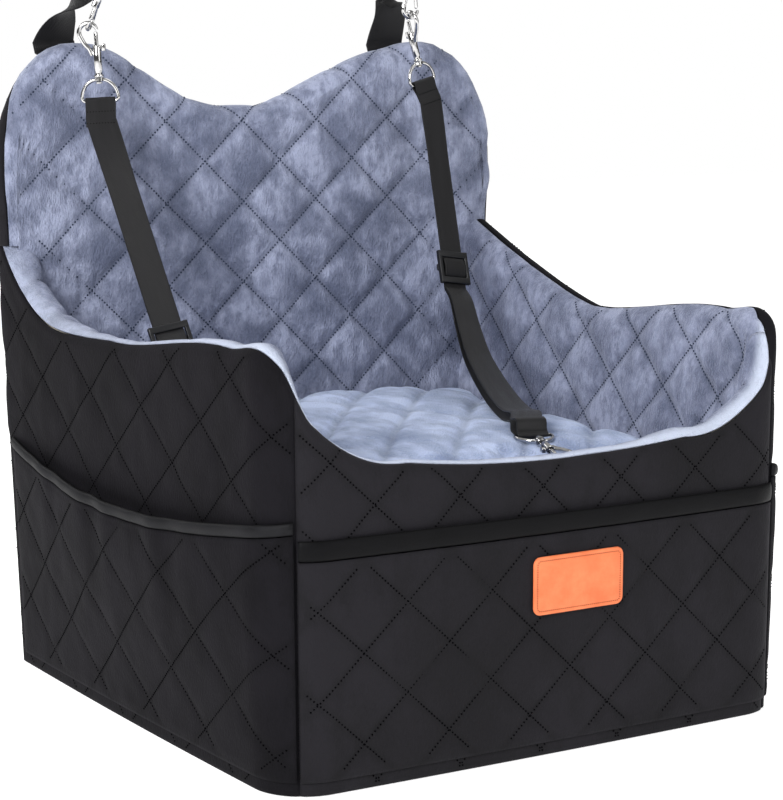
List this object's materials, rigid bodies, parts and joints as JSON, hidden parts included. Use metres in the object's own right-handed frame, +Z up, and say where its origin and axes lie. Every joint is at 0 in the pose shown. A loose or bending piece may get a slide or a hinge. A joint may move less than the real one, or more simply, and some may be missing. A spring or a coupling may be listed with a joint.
{
  "type": "dog car seat",
  "caption": "Padded booster car seat for a small dog: quilted grey-blue inside, black velvet cover, eared backrest, loose cushion, side pockets, tethers with swivel snaps.",
  "frame": {"origin": "centre of the seat's base on the floor", "axes": "+Z up, the open front faces -Y, the backrest stands at +Y, +X to the left when seen from the back"},
  "size_m": [0.5124, 0.4883, 0.6227],
  "materials": {
    "board": "matte",
    "foam": "open cell foam",
    "liner_velvet": "quilted crystal velvet",
    "cover_velvet": "velvet",
    "binding": "smooth, slight sheen",
    "patch_leather": "smooth",
    "chrome": "polished",
    "webbing": "woven, slight sheen",
    "black_plastic": "satin",
    "cushion_plush": "quilted plush"
  },
  "bodies": {
    "seat": {"back_board": "board", "back_foam": "foam", "back_liner": "liner_velvet", "base_board": "board", "base_foam": "foam", "cover_back": "cover_velvet", "cover_base": "cover_velvet", "cover_front": "cover_velvet", "cover_left": "cover_velvet", "cover_right": "cover_velvet", "floor_liner": "liner_velvet", "front_board": "board", "front_foam": "foam", "front_liner": "liner_velvet", "front_pocket": "cover_velvet", "front_pocket_binding": "binding", "leather_patch": "patch_leather", "left_board": "board", "left_foam": "foam", "left_harness_snap_eye": "chrome", "left_headrest_snap_eye": "chrome", "left_headrest_strap": "webbing", "left_liner": "liner_velvet", "left_pocket": "cover_velvet", "left_pocket_hem": "binding", "left_tether_return": "webbing", "left_tether_snap_eye": "chrome", "left_tether_strap": "webbing", "right_board": "board", "right_foam": "foam", "right_harness_snap_eye": "chrome", "right_headrest_snap_eye": "chrome", "right_headrest_strap": "webbing", "right_liner": "liner_velvet", "right_pocket": "cover_velvet", "right_pocket_hem": "binding", "right_tether_return": "webbing", "right_tether_snap_eye": "chrome", "right_tether_strap": "webbing", "seat_cushion": "cushion_plush", "zip_tape": "binding"},
    "left_headrest_hook": {"left_headrest_snap_hook": "chrome"},
    "left_headrest_bolt": {"left_headrest_snap_bolt": "chrome"},
    "right_headrest_hook": {"right_headrest_snap_hook": "chrome"},
    "right_headrest_bolt": {"right_headrest_snap_bolt": "chrome"},
    "left_tether_hook": {"left_tether_snap_hook": "chrome"},
    "left_tether_bolt": {"left_tether_snap_bolt": "chrome"},
    "right_tether_hook": {"right_tether_snap_hook": "chrome"},
    "right_tether_bolt": {"right_tether_snap_bolt": "chrome"},
    "left_harness_hook": {"left_harness_snap_hook": "chrome"},
    "left_harness_bolt": {"left_harness_snap_bolt": "chrome"},
    "right_harness_hook": {"right_harness_snap_hook": "chrome"},
    "right_harness_bolt": {"right_harness_snap_bolt": "chrome"},
    "left_tether_slider": {"left_tether_slider": "black_plastic"},
    "right_tether_slider": {"right_tether_slider": "black_plastic"},
    "zip_slider": {"zip_slider": "black_plastic"},
    "zip_pull": {"zip_pull": "black_plastic"}
  },
  "joints": [
    {"name": "left_headrest_swivel", "type": "hinge", "parent": "seat", "child": "left_headrest_hook", "pos_m": [-0.17017, 0.16454, 0.58346], "axis": [-0.3592, 0.0998, -0.9279], "range_deg": [-5, 10]},
    {"name": "left_headrest_bolt_slide", "type": "slide", "parent": "left_headrest_hook", "child": "left_headrest_bolt", "axis": [0.3592, -0.0998, 0.9279], "range_m": [0, 0.009], "stiffness_N_per_m": 300, "springref_m": -0.004},
    {"name": "right_headrest_swivel", "type": "hinge", "parent": "seat", "child": "right_headrest_hook", "pos_m": [0.13488, 0.17376, 0.59786], "axis": [0.1005, 0, -0.9949], "range_deg": [-5, 10]},
    {"name": "right_headrest_bolt_slide", "type": "slide", "parent": "right_headrest_hook", "child": "right_headrest_bolt", "axis": [-0.1005, 0, 0.9949], "range_m": [0, 0.009], "stiffness_N_per_m": 300, "springref_m": -0.004},
    {"name": "left_tether_swivel", "type": "hinge", "parent": "seat", "child": "left_tether_hook", "pos_m": [-0.17525, 0.171, 0.5035], "axis": [-0.0599, 0, 0.9982], "range_deg": [-5, 10]},
    {"name": "left_tether_bolt_slide", "type": "slide", "parent": "left_tether_hook", "child": "left_tether_bolt", "axis": [0.0599, 0, -0.9982], "range_m": [0, 0.009], "stiffness_N_per_m": 300, "springref_m": -0.004},
    {"name": "right_tether_swivel", "type": "hinge", "parent": "seat", "child": "right_tether_hook", "pos_m": [0.14275, 0.178, 0.5155], "axis": [-0.2446, 0.0499, 0.9683], "range_deg": [-5, 10]},
    {"name": "right_tether_bolt_slide", "type": "slide", "parent": "right_tether_hook", "child": "right_tether_bolt", "axis": [0.2446, -0.0499, -0.9683], "range_m": [0, 0.009], "stiffness_N_per_m": 300, "springref_m": -0.004},
    {"name": "left_harness_swivel", "type": "hinge", "parent": "seat", "child": "left_harness_hook", "pos_m": [-0.14919, -0.15435, 0.22546], "axis": [0.1003, -0.9925, -0.0702], "range_deg": [-12, 25]},
    {"name": "left_harness_bolt_slide", "type": "slide", "parent": "left_harness_hook", "child": "left_harness_bolt", "axis": [-0.1003, 0.9925, 0.0702], "range_m": [0, 0.009], "stiffness_N_per_m": 300, "springref_m": -0.004},
    {"name": "right_harness_swivel", "type": "hinge", "parent": "seat", "child": "right_harness_hook", "pos_m": [0.0376, -0.16547, 0.22506], "axis": [-0.2999, -0.9497, -0.09], "range_deg": [-12, 25]},
    {"name": "right_harness_bolt_slide", "type": "slide", "parent": "right_harness_hook", "child": "right_harness_bolt", "axis": [0.2999, 0.9497, 0.09], "range_m": [0, 0.009], "stiffness_N_per_m": 300, "springref_m": -0.004},
    {"name": "left_tether_slider_slide", "type": "slide", "parent": "seat", "child": "left_tether_slider", "axis": [-0.1021, 0.4304, 0.8969], "range_m": [0, 0.055]},
    {"name": "right_tether_slider_slide", "type": "slide", "parent": "seat", "child": "right_tether_slider", "axis": [0.0729, 0.3505, 0.9337], "range_m": [0, 0.055]},
    {"name": "zip_slide", "type": "slide", "parent": "seat", "child": "zip_slider", "axis": [1, 0, 0], "range_m": [-0.03, 0.33]},
    {"name": "zip_pull_hinge", "type": "hinge", "parent": "zip_slider", "child": "zip_pull", "pos_m": [-0.15, 0.2404, 0.055], "axis": [1, 0, 0], "range_deg": [0, 110]}
  ]
}
